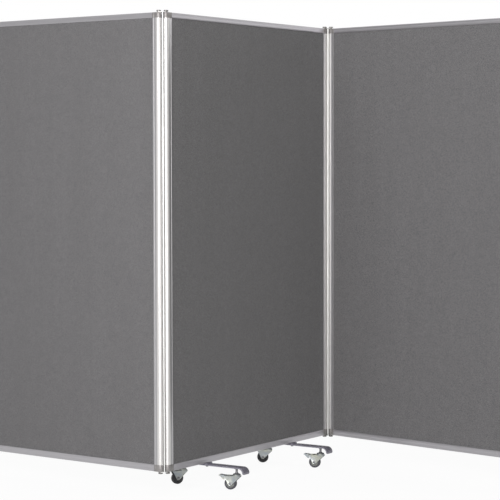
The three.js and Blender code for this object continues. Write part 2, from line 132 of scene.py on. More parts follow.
# %% [markdown]
# ## Finishes
# Each finish starts from one Principled shader. What is the same all over, such as sheen or metalness, is
# set on the shader itself. What varies is a noise on the object's own coordinates, stretched along the
# piece where the real finish has a direction: drawn aluminium is streaked along its length, felt is not.

# %% Helpers for finishes

# A Mix node has a pair of inputs for each kind of value, so its colour sockets are taken by place.
MIX_COLOURS_IN = (6, 7)
MIX_COLOUR_OUT = 2


def plain_finish(name, roughness, metallic=0.0, **sockets):
    finish = bpy.data.materials.new(name)
    finish.use_nodes = True
    shader = finish.node_tree.nodes["Principled BSDF"]
    shader.inputs["Roughness"].default_value = roughness
    shader.inputs["Metallic"].default_value = metallic
    for socket, value in sockets.items():
        shader.inputs[socket.replace("_", " ")].default_value = value
    return finish, shader


def add_node(finish, kind, **settings):
    made = finish.node_tree.nodes.new(kind)
    for name, value in settings.items():
        if hasattr(made, name):
            setattr(made, name, value)
        else:
            made.inputs[name.replace("_", " ")].default_value = value
    return made


def wire(finish, out, into):
    finish.node_tree.links.new(out, into)


def object_place(finish, turn=0.0, stretch=(1, 1, 1)):
    """The object's own coordinates, turned to lie along a panel and stretched."""
    coordinates = add_node(finish, "ShaderNodeTexCoord")
    level = add_node(finish, "ShaderNodeMapping", vector_type="POINT")
    level.inputs["Rotation"].default_value = (0, 0, -turn)
    scaled = add_node(finish, "ShaderNodeMapping", vector_type="POINT")
    scaled.inputs["Scale"].default_value = stretch
    wire(finish, coordinates.outputs["Object"], level.inputs["Vector"])
    wire(finish, level.outputs["Vector"], scaled.inputs["Vector"])
    return scaled.outputs["Vector"]


def noise_on(finish, place, scale, detail=3.0, roughness=0.6):
    made = add_node(finish, "ShaderNodeTexNoise", Scale=scale, Detail=detail, Roughness=roughness)
    wire(finish, place, made.inputs["Vector"])
    return made.outputs["Fac"]


def mixed_colour(finish, factor, first, second, low=0.35, high=0.65):
    """Two colours, mixed by a noise whose middle range is spread out."""
    spread = add_node(finish, "ShaderNodeMapRange")
    spread.inputs["From Min"].default_value = low
    spread.inputs["From Max"].default_value = high
    wire(finish, factor, spread.inputs["Value"])
    mix = add_node(finish, "ShaderNodeMix", data_type="RGBA")
    wire(finish, spread.outputs["Result"], mix.inputs["Factor"])
    for place, colour in zip(MIX_COLOURS_IN, (first, second)):
        if isinstance(colour, bpy.types.NodeSocket):
            wire(finish, colour, mix.inputs[place])
        else:
            mix.inputs[place].default_value = (*colour, 1)
    return mix.outputs[MIX_COLOUR_OUT]


def varied(finish, factor, low, high):
    """A value between two ends, led by a noise."""
    spread = add_node(finish, "ShaderNodeMapRange")
    spread.inputs["To Min"].default_value = low
    spread.inputs["To Max"].default_value = high
    wire(finish, factor, spread.inputs["Value"])
    return spread.outputs["Result"]


def bumped(finish, shader, factor, strength, depth, under=None):
    """A bump from a noise, laid over another bump if there is one."""
    bump = add_node(finish, "ShaderNodeBump", Strength=strength, Distance=depth)
    wire(finish, factor, bump.inputs["Height"])
    if under is not None:
        wire(finish, under, bump.inputs["Normal"])
    wire(finish, bump.outputs["Normal"], shader.inputs["Normal"])
    return bump.outputs["Normal"]


print("helpers ready")

# %% [markdown]
# ### Drawn aluminium
# The rails and stiles are satin anodised profiles. Their die leaves faint streaks along the length, and the
# anodising has a slow cloudiness. The pattern is stretched along the piece, so a rail turns it level and a
# stile keeps it upright. A stile has two finishes of the same aluminium, one for each part: the round nose is
# painted paler than the flat band and the rails, a painted highlight, and the band is painted darker, a
# painted shade. The link between them is the palest.

# %% Aluminium for rails, stiles and links
STREAK_STRETCH = 0.012
STREAK_SCALE = 900
CLOUD_SCALE = 9
CLOUD_SHADE = 0.94


def drawn_metal(name, pale, dark, roughness, turn=0.0, upright=True, metallic=0.85):
    finish, shader = plain_finish(name, roughness, metallic)
    stretch = (1, 1, STREAK_STRETCH) if upright else (STREAK_STRETCH, 1, 1)
    along = object_place(finish, turn, stretch)
    streaks = noise_on(finish, along, STREAK_SCALE, 2)
    cloud = noise_on(finish, object_place(finish, turn), CLOUD_SCALE, 3)
    tone = mixed_colour(finish, streaks, dark, pale, 0.3, 0.7)
    soft = tuple(CLOUD_SHADE * part for part in pale)
    wire(finish, mixed_colour(finish, cloud, tone, soft, 0.35, 0.9), shader.inputs["Base Color"])
    wire(finish, varied(finish, streaks, roughness - 0.06, roughness + 0.08), shader.inputs["Roughness"])
    bumped(finish, shader, streaks, 0.10, 0.05 * mm)
    return finish


panel_turn = {panel: seat.to_euler().z for panel, seat in panel_seat.items()}
rail_pale, rail_dark = (0.48, 0.47, 0.49), (0.40, 0.39, 0.41)
rail_metal = {
    panel: drawn_metal(
        f"rail_aluminium_{panel}", rail_pale, rail_dark, 0.3, turn, upright=False, metallic=0.78)
    for panel, turn in panel_turn.items()
}
# Two copies of one aluminium: the nose finish is painted paler as a painted highlight, the band finish darker
# as painted shade.
nose_metal_painted_highlight = drawn_metal(
    "stile_nose_aluminium_painted_highlight", (0.75, 0.74, 0.725), (0.65, 0.64, 0.63), 0.36, metallic=0.78)
band_metal_painted_shade = drawn_metal(
    "stile_band_aluminium_painted_shade", (0.46, 0.455, 0.465), (0.38, 0.375, 0.385), 0.3, metallic=0.75)
link_metal = drawn_metal("link_aluminium", (0.86, 0.86, 0.85), (0.74, 0.74, 0.73), 0.3)
print("aluminium:", len(rail_metal) + 3)

# %% [markdown]
# ### Felted cloth
# The covers are a grey needle felt. Close up it is pale short fibres over darker clumps; further off it is
# faintly mottled, with upright bands where the web was laid. So four noises lie over each other, from wide
# to fine. Sheen gives the fibres their soft pale rim, and bumps from the two finest break the light.

# %% Felt
FIBRE_SCALE = 460
CLUMP_SCALE = 210
MOTTLE_SCALE = 38
WEB_BAND_SCALE = 14
WEB_BAND_STRETCH = (1, 1, 0.05)


def felt(name, turn):
    finish, shader = plain_finish(name, 0.95, Sheen_Weight=0.25, Sheen_Roughness=0.6, Specular_IOR_Level=0.2)
    place = object_place(finish, turn)
    fibres = noise_on(finish, place, FIBRE_SCALE, 4, 0.7)
    clumps = noise_on(finish, place, CLUMP_SCALE, 3, 0.6)
    mottle = noise_on(finish, place, MOTTLE_SCALE, 3, 0.55)
    bands = noise_on(finish, object_place(finish, turn, WEB_BAND_STRETCH), WEB_BAND_SCALE, 2)
    ground = mixed_colour(finish, bands, (0.134, 0.132, 0.133), (0.149, 0.147, 0.149), 0.3, 0.7)
    mottled = mixed_colour(finish, mottle, ground, (0.108, 0.1065, 0.111), 0.42, 0.95)
    clumped = mixed_colour(finish, clumps, mottled, (0.088, 0.0865, 0.090), 0.42, 0.68)
    fibrous = mixed_colour(finish, fibres, clumped, (0.30, 0.296, 0.307), 0.44, 0.76)
    wire(finish, fibrous, shader.inputs["Base Color"])
    under = bumped(finish, shader, fibres, 0.7, 0.5 * mm)
    bumped(finish, shader, clumps, 0.35, 0.6 * mm, under)
    return finish


cloth_finish = {panel: felt(f"felt_{panel}", turn) for panel, turn in panel_turn.items()}
print("felts:", len(cloth_finish))

# %% [markdown]
# ### Moulded, painted and plated finishes
# Corner blocks are a satin grey moulding with a fine spark-eroded grain. The feet are painted grey with a
# slight orange peel. Castors are zinc plated, with the yellowish cloud of the plating and fine scratches.
# The wheels are rubber tyres on plastic hubs, with road dust lying unevenly on the tread.

# %% Mouldings, paint, zinc and rubber
GRAINS_ACROSS_A_CLOUD = 14


def grained(name, pale, dark, roughness, scale, depth, metallic=0.0):
    """A fine grain in the surface, and a wider cloud in the colour; the depth is in metres."""
    finish, shader = plain_finish(name, roughness, metallic)
    place = object_place(finish)
    grain = noise_on(finish, place, scale, 3)
    cloud = noise_on(finish, place, scale / GRAINS_ACROSS_A_CLOUD, 3)
    wire(finish, mixed_colour(finish, cloud, dark, pale, 0.3, 0.7), shader.inputs["Base Color"])
    wire(finish, varied(finish, cloud, roughness - 0.08, roughness + 0.1), shader.inputs["Roughness"])
    bumped(finish, shader, grain, 0.35, depth)
    return finish


corner_moulding = grained(
    "corner_moulding", (0.33, 0.315, 0.31), (0.26, 0.25, 0.245), 0.4, 900, 0.1 * mm, 0.45)
foot_paint = grained("foot_paint", (0.29, 0.28, 0.33), (0.235, 0.225, 0.275), 0.38, 520, 0.1 * mm, 0.4)
zinc_plate = grained("zinc_plate", (0.48, 0.485, 0.40), (0.34, 0.375, 0.42), 0.3, 420, 0.08 * mm, 0.8)
bright_zinc = grained("bright_zinc", (0.26, 0.26, 0.27), (0.17, 0.17, 0.18), 0.3, 600, 0.05 * mm, 0.85)
pin_cap_metal = grained("pin_cap_metal", (0.28, 0.27, 0.265), (0.18, 0.175, 0.17), 0.3, 700, 0.05 * mm, 0.8)
grey_rubber = grained("grey_rubber", (0.095, 0.095, 0.11), (0.06, 0.06, 0.072), 0.62, 700, 0.15 * mm)
dark_rubber = grained("dark_rubber", (0.022, 0.022, 0.026), (0.012, 0.012, 0.014), 0.55, 700, 0.15 * mm)
grey_hub = grained("grey_hub", (0.30, 0.31, 0.29), (0.24, 0.25, 0.23), 0.45, 800, 0.08 * mm)
dark_hub = grained("dark_hub", (0.05, 0.05, 0.055), (0.03, 0.03, 0.034), 0.45, 800, 0.08 * mm)
core_board = grained("core_board", (0.46, 0.36, 0.25), (0.38, 0.29, 0.20), 0.9, 300, 0.2 * mm)
print("other finishes ready")

# %% [markdown]
# ## Shaping helpers
# Nearly every piece is a profile that is drawn out, or one that is turned. A profile starts from its corner
# points, and a vertex bevel rounds each corner. Drawing out extrudes it, and the result is turned to lie
# along its piece. A turned piece spins a half profile full circle about its axis.

# %% Helpers for shapes
ALONG_X = Matrix(((0, 0, 1, 0), (1, 0, 0, 0), (0, 1, 0, 0), (0, 0, 0, 1)))
MIRROR_X = Matrix.Scale(-1, 4, (1, 0, 0))
ON_ITS_SIDE = Matrix.Rotation(math.pi / 2, 4, "X")


def rounded_outline(corners, steps=4):
    """A flat face from (x, y, rounding) corners, in millimetres."""
    bm = bmesh.new()
    points = [bm.verts.new((x * mm, y * mm, 0)) for x, y, _ in corners]
    bm.faces.new(points)
    for radius in sorted({corner[2] for corner in corners if corner[2]}):
        chosen = [point for point, corner in zip(points, corners) if corner[2] == radius]
        bmesh.ops.bevel(bm, geom=chosen, offset=radius * mm, offset_type="OFFSET", segments=steps,
                        profile=0.5, affect="VERTICES", material=-1)
    bmesh.ops.remove_doubles(bm, verts=bm.verts, dist=0.001 * mm)
    return bm


def with_bore(bm, radius, steps=16):
    """Cuts a round hole about the origin into a flat outline."""
    bmesh.ops.delete(bm, geom=list(bm.faces), context="FACES_ONLY")
    bmesh.ops.create_circle(bm, cap_ends=False, radius=radius, segments=steps)
    bmesh.ops.triangle_fill(bm, use_beauty=True, use_dissolve=False, edges=list(bm.edges))
    return bm


def extruded(bm, faces, step):
    """Extrudes the faces by a step and gives back the new ones."""
    grown = bmesh.ops.extrude_face_region(bm, geom=faces)["geom"]
    tips = [part for part in grown if isinstance(part, bmesh.types.BMVert)]
    bmesh.ops.translate(bm, vec=step, verts=tips)
    return [part for part in grown if isinstance(part, bmesh.types.BMFace)]


def drawn_out(bm, length):
    """Gives a flat outline its length, upwards."""
    extruded(bm, list(bm.faces), (0, 0, length))
    bmesh.ops.recalc_face_normals(bm, faces=bm.faces)
    return bm


def softened(bm, width, angle=40, steps=2):
    """Bevels the edges that turn more sharply than the angle."""
    limit = math.radians(angle)
    edges = [e for e in bm.edges if len(e.link_faces) == 2 and e.calc_face_angle(0) > limit]
    bmesh.ops.bevel(bm, geom=edges, offset=width, offset_type="OFFSET", segments=steps,
                    profile=0.5, affect="EDGES", material=-1, clamp_overlap=True)
    return bm


def turned(profile, steps=40):
    """Spins (radius, height) points, in millimetres, about the Z axis."""
    bm = bmesh.new()
    points = [bm.verts.new((radius * mm, 0, height * mm)) for radius, height in profile]
    edges = [bm.edges.new(pair) for pair in zip(points, points[1:])]
    bmesh.ops.spin(bm, geom=points + edges, cent=(0, 0, 0), axis=(0, 0, 1), angle=2 * math.pi,
                   steps=steps, use_merge=True, use_duplicate=False)
    bmesh.ops.remove_doubles(bm, verts=bm.verts, dist=0.001 * mm)
    bmesh.ops.dissolve_degenerate(bm, edges=bm.edges, dist=0.0005 * mm)
    bmesh.ops.recalc_face_normals(bm, faces=bm.faces)
    return bm


def moved(bm, matrix):
    """Puts a mesh in its place, and turns its faces out again where the place mirrors it."""
    bmesh.ops.transform(bm, matrix=matrix, verts=bm.verts)
    if matrix.determinant() < 0:
        bmesh.ops.recalc_face_normals(bm, faces=bm.faces)
    return bm


def joined(*parts):
    """Puts several closed shells in one mesh."""
    whole = parts[0]
    for part in parts[1:]:
        spare = bpy.data.meshes.new("spare")
        part.to_mesh(spare)
        part.free()
        whole.from_mesh(spare)
        bpy.data.meshes.remove(spare)
    return whole


def new_piece(name, bm, finishes, body, slot, *nodes, smooth=32):
    """Puts the mesh in the scene; a list holds one finish for each of the faces' material numbers."""
    open_edges = sum(edge.is_boundary for edge in bm.edges)
    mesh = bpy.data.meshes.new(name)
    bm.to_mesh(mesh)
    bm.free()
    for finish in finishes if isinstance(finishes, list) else [finishes]:
        mesh.materials.append(finish)
    mesh.shade_smooth()
    mesh.set_sharp_from_angle(angle=math.radians(smooth))
    piece = bpy.data.objects.new(name, mesh)
    bpy.context.scene.collection.objects.link(piece)
    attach(piece, body)
    if nodes:
        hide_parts(*nodes)
    if open_edges:
        print(name, "has", open_edges, "open edges")
    return piece


print("shape helpers ready")

# %% [markdown]
# ## Stiles and corner blocks
# A stile is a drawn profile: a round nose that carries the hinge pin, a sunk band, a narrow bead, and a
# groove that takes the board's edge. A corner block repeats that outline in moulded grey, so one profile
# serves both. The left ones are the right ones mirrored.

# %% Stiles and corner blocks, sizes in millimetres
NOSE = 11
FLAT = 24
GROOVE_DEPTH = 8
GROOVE_HALF = 9.1
BEAD = 6
BAND_END = 7.5
BAND_DEPTH = 1.3
BLOCK_BAND_DEPTH = 0.9
BLOCK_EDGE = 0.7
BORE = 4.8


def stile_corners(band_depth):
    band = NOSE - band_depth
    upper = [
        (-BAND_END, NOSE, 0.9), (-BAND_END - 1, band, 0.5), (-FLAT + BEAD + 0.8, band, 0.4),
        (-FLAT + BEAD, NOSE - 0.1, 0.4), (-FLAT, NOSE - 0.3, 0.6), (-FLAT, GROOVE_HALF, 0),
        (-FLAT + GROOVE_DEPTH, GROOVE_HALF, 0),
    ]
    lower = [(x, -y, radius) for x, y, radius in reversed(upper)]
    return [(NOSE, -NOSE, NOSE), (NOSE, NOSE, NOSE), *upper, *lower]


def upright_profile(corners, node):
    """The profile about its pin, as tall as the node that it stands for."""
    low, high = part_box(node)
    return drawn_out(with_bore(rounded_outline(corners, 6), BORE * mm), high.z - low.z)


def on_panel_side(bm, node, side, seat):
    """Puts a profile at a panel's left or right pin, mirrored on the left."""
    place = Matrix.Translation((side * pivot_half, 0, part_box(node)[0].z))
    if side < 0:
        place = place @ MIRROR_X
    return moved(bm, seat @ place)


for panel, body in PANELS.items():
    seat = panel_seat[panel]
    for word, side in SIDES.items():
        node = f"{panel}_{word}_stile"
        bm = upright_profile(stile_corners(BAND_DEPTH), node)
        # Band faces get the finish with painted shade; the nose and the ends keep the one with painted
        # highlight.
        for face in bm.faces:
            past_nose = face.calc_center_median().x < -BAND_END * mm
            face.material_index = int(past_nose and abs(face.normal.z) < 0.5)
        on_panel_side(bm, node, side, seat)
        new_piece(f"{node}_profile", bm, [nose_metal_painted_highlight, band_metal_painted_shade], body, "stile_aluminium", node)
        for level in ("top", "bottom"):
            node = f"{panel}_{word}_{level}_corner"
            bm = on_panel_side(upright_profile(stile_corners(BLOCK_BAND_DEPTH), node), node, side, seat)
            softened(bm, BLOCK_EDGE * mm, 60)
            new_piece(f"{node}_block", bm, corner_moulding, body, "corner_grey", node)
print("stiles and blocks done")

# %% [markdown]
# ## Rails
# The top and bottom rails are a second drawn profile. Its outer edge is rounded, a shallow step divides the
# face in an upper and a lower band, and its inner edge holds the board in the same groove as the stile.

# %% Rails, sizes in millimetres
RAIL_STEP = 0.5
RAIL_STEP_SHARE = 0.52
RAIL_CROWN = 3.2
RAIL_EDGE = 2.2
RAIL_SLOPE = 0.1


def rail_corners(height):
    """The section of a rail, Y across and outwards up, from its inner edge at 0."""
    middle = RAIL_STEP_SHARE * height
    outer = [
        (-GROOVE_HALF, 0, 0), (-NOSE, 0, 0.7), (-NOSE, middle, 0.3), (-NOSE + RAIL_STEP, middle + 0.8, 0.3),
        (-NOSE + RAIL_SLOPE, height - RAIL_CROWN, 0.2), (-NOSE + RAIL_SLOPE, height, RAIL_EDGE),
    ]
    back = [(-x, y, radius) for x, y, radius in reversed(outer)]
    return [*outer, *back, (GROOVE_HALF, GROOVE_DEPTH, 0), (-GROOVE_HALF, GROOVE_DEPTH, 0)]


for panel, body in PANELS.items():
    for level, outward in (("top", 1), ("bottom", -1)):
        node = f"{panel}_{level}_rail"
        low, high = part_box(f"middle_{level}_rail")
        length = high.x - low.x
        bm = drawn_out(rounded_outline(rail_corners((high.z - low.z) / mm)), length)
        moved(bm, Matrix.Translation((-length / 2, 0, 0)) @ ALONG_X)
        inner_edge = low.z if outward > 0 else high.z
        upwards = Matrix.Scale(outward, 4, (0, 0, 1))
        moved(bm, panel_seat[panel] @ Matrix.Translation((0, 0, inner_edge)) @ upwards)
        new_piece(f"{node}_profile", bm, rail_metal[panel], body, "satin_aluminium", node)
print("rails done")

# %% [markdown]
# ## Cloth covers
# Each face of a panel has its own felt, 1 mm thick, stretched over the board and tucked into the grooves.
# It stands a little proud of the grooves in the middle, falls to them in a soft edge, and is never quite
# even. A fine grid takes that shape, with its lines crowded towards the edges, and Solidify gives the wall.

# %% Cloth covers
CLOTH_COLUMNS = 44
CLOTH_ROWS = 60
WAVES_IN_A_METRE = 5
FIRST_SEED = 3.7
CLOTH_WALL = 1 * mm
CROWN = 0.9 * mm
EDGE_FALL = 5 * mm
UNEVEN = 0.22 * mm
TUCK = 7.5 * mm

cloth_low, cloth_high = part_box("middle_fabric")
cloth_half = (cloth_high.x - cloth_low.x) / 2
cloth_height = cloth_high.z - cloth_low.z
cloth_middle = (cloth_high.z + cloth_low.z) / 2
cloth_face = (cloth_high.y - cloth_low.y) / 2


def cloth_sheet(facing, seed):
    """One felt in the panel's own place; facing is -1 for the front and 1 for the back."""
    bm = bmesh.new()
    bmesh.ops.create_grid(bm, x_segments=CLOTH_COLUMNS, y_segments=CLOTH_ROWS, size=1)
    for point in bm.verts:
        across = math.sin(point.co.x * math.pi / 2) * cloth_half
        upward = math.sin(point.co.y * math.pi / 2) * cloth_height / 2
        inside = min(cloth_half - abs(across), cloth_height / 2 - abs(upward)) - TUCK
        rise = CROWN * (1 - math.exp(-max(inside, 0) / EDGE_FALL))
        spot = Vector((across * WAVES_IN_A_METRE, upward * WAVES_IN_A_METRE, seed))
        wave = noise.noise(spot) * UNEVEN if inside > 0 else 0
        point.co = Vector((across, facing * (cloth_face + rise + wave), cloth_middle + upward))
    bmesh.ops.recalc_face_normals(bm, faces=bm.faces)
    if sum(face.normal.y * facing for face in bm.faces) < 0:
        bmesh.ops.reverse_faces(bm, faces=bm.faces)
    return bm


for order, (panel, body) in enumerate(PANELS.items()):
    for word, facing in (("front", -1), ("back", 1)):
        bm = moved(cloth_sheet(facing, FIRST_SEED + order + facing), panel_seat[panel])
        cloth = new_piece(f"{panel}_cloth_{word}", bm, cloth_finish[panel], body, "cloth",
                          f"{panel}_fabric", smooth=60)
        wall = cloth.modifiers.new("wall", "SOLIDIFY")
        wall.thickness = CLOTH_WALL
        wall.offset = -1
        print(cloth.name, "is", round(2 * cloth_half, 3), "by", round(cloth_height, 3), "m flat")
    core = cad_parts[f"{panel}_board"]
    core.data.materials.clear()
    core.data.materials.append(core_board)

# %% [markdown]
# ## Hinge links and pins
# A link is a strip as tall as the panels, thick at its front and back edges and thinner between, with a
# plate at each end that takes both pins. Each pin ends in a flat cap with a rounded edge.

# %% Links and pins, sizes in millimetres
LINK_BEAD = 2.75
LINK_WEB = 1.7
LINK_EDGE = 10
LINK_BEAD_END = 5.2
LINK_PLATE = 2.5
EYE_RADIUS = 8.5
link_section = [
    (LINK_BEAD, LINK_EDGE, 2.2), (-LINK_BEAD, LINK_EDGE, 2.2),
    (-LINK_BEAD, LINK_BEAD_END, 0.8), (-LINK_WEB, LINK_BEAD_END - 1, 0.5),
    (-LINK_WEB, -LINK_BEAD_END + 1, 0.5), (-LINK_BEAD, -LINK_BEAD_END, 0.8),
    (-LINK_BEAD, -LINK_EDGE, 2.2), (LINK_BEAD, -LINK_EDGE, 2.2),
    (LINK_BEAD, -LINK_BEAD_END, 0.8), (LINK_WEB, -LINK_BEAD_END + 1, 0.5),
    (LINK_WEB, LINK_BEAD_END - 1, 0.5), (LINK_BEAD, LINK_BEAD_END, 0.8),
]
pin_cap = [(0, 0), (6.9, 0.1), (8.1, 0.5), (8.9, 1.3), (9.2, 2.3), (9.2, 5.9), (4.5, 6)]


def link_plate(half_spacing, bottom):
    """Two eyes and the plate between them, as the hull of two circles drawn out."""
    bm = bmesh.new()
    for x in (-half_spacing, half_spacing):
        ring = bmesh.ops.create_circle(bm, cap_ends=False, radius=EYE_RADIUS * mm, segments=28)["verts"]
        bmesh.ops.translate(bm, vec=(x, 0, 0), verts=ring)
    hull = bmesh.ops.convex_hull(bm, input=list(bm.verts), use_existing_faces=False)
    bmesh.ops.delete(bm, geom=list(set(hull["geom_interior"])), context="VERTS")
    bmesh.ops.dissolve_faces(bm, faces=list(bm.faces), use_verts=False)
    drawn_out(bm, LINK_PLATE * mm)
    softened(bm, 0.5 * mm, 60)
    return moved(bm, Matrix.Translation((0, 0, bottom)))


for word in SIDES:
    inner, outer = middle_of(f"{word}_inner_pin"), middle_of(f"{word}_outer_pin")
    seat = seat_at((inner + outer) / 2, outer - inner)
    half_spacing = (outer - inner).length / 2
    low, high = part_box(f"{word}_link")
    plate = LINK_PLATE * mm
    strip = drawn_out(rounded_outline(link_section), high.z - low.z - 2 * plate)
    moved(strip, Matrix.Translation((0, 0, low.z + plate)))
    bm = joined(strip, link_plate(half_spacing, low.z), link_plate(half_spacing, high.z - plate))
    new_piece(f"{word}_link_strip", moved(bm, seat), link_metal, f"{word}_link_body",
              "bright_aluminium", f"{word}_link")
    for place, body in (("inner", "middle_panel"), ("outer", f"{word}_wing")):
        node = f"{word}_{place}_pin"
        low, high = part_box(node)
        tall = (high.z - low.z) / mm
        rod = turned([*pin_cap, *((radius, tall - height) for radius, height in reversed(pin_cap))], 32)
        centre = middle_of(node)
        moved(rod, Matrix.Translation((centre.x, centre.y, low.z)))
        new_piece(f"{node}_with_caps", rod, pin_cap_metal, body, "pin_steel", node)
print("links and pins done")

# %% [markdown]
# ## Cross feet
# A foot is one flat steel strip. Its ends are bent down through a quarter turn, and their corners are
# rounded. The strip is made flat from its outline, cut into slices where it will bend, and then each point
# is rolled round the bend, which keeps its length. A block between the strip and the rail carries the panel.

# %% Cross feet and their bolts
TIP_CORNER = 7
BEND_SLICES = 9
FOOT_WALL = 5 * mm
TIP_RADIUS = 24 * mm
PAD_HEIGHT = 5 * mm
PAD_SUNK = 0.5 * mm
PAD_LENGTH = 45 * mm
PAD_WIDTH = 22 * mm
PAD_TAPER = 0.9
bolt_head = [
    (0, 2.6), (2.6, 2.6), (2.9, 2.2), (2.9, 0.3), (3.4, 0), (4.6, 0.5), (5.9, 2.1), (6.5, 4.4), (6.5, 7),
]


def foot_strip(low, high, top):
    """The strip in its own place: length along Y, bent down at both ends."""
    bend = TIP_RADIUS - FOOT_WALL / 2
    straight = (low.y + TIP_RADIUS, high.y - TIP_RADIUS)
    drop = top - low.z - TIP_RADIUS
    run = bend * math.pi / 2 + drop
    width = (high.x - low.x) / mm
    start, end = (straight[0] - run) / mm, (straight[1] + run) / mm
    outline = [(-width / 2, start, TIP_CORNER), (width / 2, start, TIP_CORNER),
               (width / 2, end, TIP_CORNER), (-width / 2, end, TIP_CORNER)]
    bm = drawn_out(rounded_outline(outline, 5), FOOT_WALL)
    for edge, outward in ((straight[0], -1), (straight[1], 1)):
        for k in range(BEND_SLICES + 1):
            cut = edge + outward * bend * math.pi / 2 * k / BEND_SLICES
            bmesh.ops.bisect_plane(bm, geom=[*bm.verts, *bm.edges, *bm.faces], dist=0.01 * mm,
                                   plane_co=(0, cut, 0), plane_no=(0, 1, 0))
    softened(bm, 0.6 * mm, 60)
    for point in bm.verts:
        edge, outward = (straight[0], -1) if point.co.y < straight[0] else (straight[1], 1)
        past = (point.co.y - edge) * outward
        across = point.co.z - FOOT_WALL / 2
        if past > 0:
            angle = min(past / bend, math.pi / 2)
            beyond = max(past - bend * math.pi / 2, 0)
            radius = bend + across
            point.co.y = edge + outward * radius * math.sin(angle)
            point.co.z = top - FOOT_WALL / 2 - bend + radius * math.cos(angle) - beyond
        else:
            point.co.z = top - FOOT_WALL / 2 + across
    bmesh.ops.recalc_face_normals(bm, faces=bm.faces)
    return bm


def pad_block(seat_height, top, middle):
    """The block under the rail, wider at its foot, where it is welded to the strip."""
    bm = bmesh.new()
    bmesh.ops.create_cube(bm, size=1)
    bmesh.ops.scale(bm, vec=(PAD_LENGTH, PAD_WIDTH, seat_height - top + PAD_SUNK), verts=bm.verts)
    for point in bm.verts:
        if point.co.z > 0:
            point.co.x *= PAD_TAPER
    softened(bm, 0.8 * mm, 40)
    return moved(bm, Matrix.Translation((middle.x, middle.y, (seat_height + top) / 2 - PAD_SUNK / 2)))


for word in SIDES:
    low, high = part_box(f"{word}_foot")
    bolt_middle = middle_of(f"{word}_foot_bolt")
    strip_top = high.z - PAD_HEIGHT
    strip = moved(foot_strip(low, high, strip_top), Matrix.Translation(((low.x + high.x) / 2, 0, 0)))
    bm = joined(strip, pad_block(high.z, strip_top, bolt_middle))
    new_piece(f"{word}_cross_foot", bm, foot_paint, "middle_panel", "foot_grey", f"{word}_foot")
    low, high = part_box(f"{word}_foot_bolt")
    tall = (high.z - low.z) / mm
    bolt = turned([*bolt_head, (4, 7), (4, tall - 0.6), (3.4, tall), (0, tall)], 28)
    moved(bolt, Matrix.Translation((bolt_middle.x, bolt_middle.y, low.z)))
    new_piece(f"{word}_foot_dome_bolt", bolt, bright_zinc, "middle_panel", "zinc_hardware",
              f"{word}_foot_bolt")
print("feet done")

# %% [markdown]
# ## Castors
# Each castor turns about its stem, and its wheel trails behind the stem. Lying straight, the stem is at the
# origin and the wheel trails along X. The fork is pressed from one strip: its U section is drawn out along
# X, and then planes trim both legs to the narrow V that leads to the axle. A turned head with a ball race
# sits on it. The four under the feet and the two under the wings share these shapes.

# %% Castor sizes, measured and in millimetres
wheel_low, wheel_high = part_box("right_front_castor_wheel")
fork_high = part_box("right_front_castor_fork")[1]
stem_to_wheel = middle_of("right_front_castor_wheel") - middle_of("right_front_castor_stem")
TRAIL = stem_to_wheel.to_2d().length / mm
AXLE_HEIGHT = (wheel_low.z + wheel_high.z) / 2 / mm
TYRE_RADIUS = (wheel_high.z - wheel_low.z) / 2 / mm
HEAD_TOP = fork_high.z / mm
HEAD_HEIGHT = 8
FORK_TOP = HEAD_TOP - HEAD_HEIGHT
FORK_HALF = 13.7
FORK_WALL = 2.2
FORK_BEND = 4.0
FORK_BEND_CUTS = 4
FORK_FRONT = -16
FORK_REAR = TRAIL + 25
SKIRT = 6
RIM = 2.2
PRESSED = 0.9
EYE = 8
EYE_CUTS = 8
HEAD = 16.5
RIVET_HEIGHT = 1.5
print("trail", round(TRAIL, 2), "mm, axle", round(AXLE_HEIGHT, 2), "mm up")

# %% Forks


def fork_section():
    """Faces of the U section: a leg, a rounded corner, the top, a corner and a leg, Y across and Z up."""
    bm = bmesh.new()
    centre = (FORK_HALF - FORK_BEND, FORK_TOP - FORK_BEND)
    leg_end = AXLE_HEIGHT - EYE - 1
    path = [(FORK_HALF, leg_end, FORK_HALF - FORK_WALL, leg_end)]
    for k in range(FORK_BEND_CUTS + 1):
        angle = math.radians(90 * k / FORK_BEND_CUTS)
        path.append(tuple(
            middle + radius * part
            for radius in (FORK_BEND, FORK_BEND - FORK_WALL)
            for middle, part in zip(centre, (math.cos(angle), math.sin(angle)))
        ))
    path += [(-a, b, -c, d) for a, b, c, d in reversed(path)]
    pairs = [(bm.verts.new((0, a * mm, b * mm)), bm.verts.new((0, c * mm, d * mm))) for a, b, c, d in path]
    for (a, b), (c, d) in zip(pairs, pairs[1:]):
        bm.faces.new((a, b, d, c))
    return bm


def trimmed(bm, point, normal):
    """Cuts away what lies beyond a plane and closes the cut."""
    cut = bmesh.ops.bisect_plane(bm, geom=[*bm.verts, *bm.edges, *bm.faces], dist=0.001 * mm,
                                 plane_co=[part * mm for part in point], plane_no=normal, clear_outer=True)
    rim = [part for part in cut["geom_cut"] if isinstance(part, bmesh.types.BMEdge)]
    bmesh.ops.edgenet_fill(bm, edges=rim)


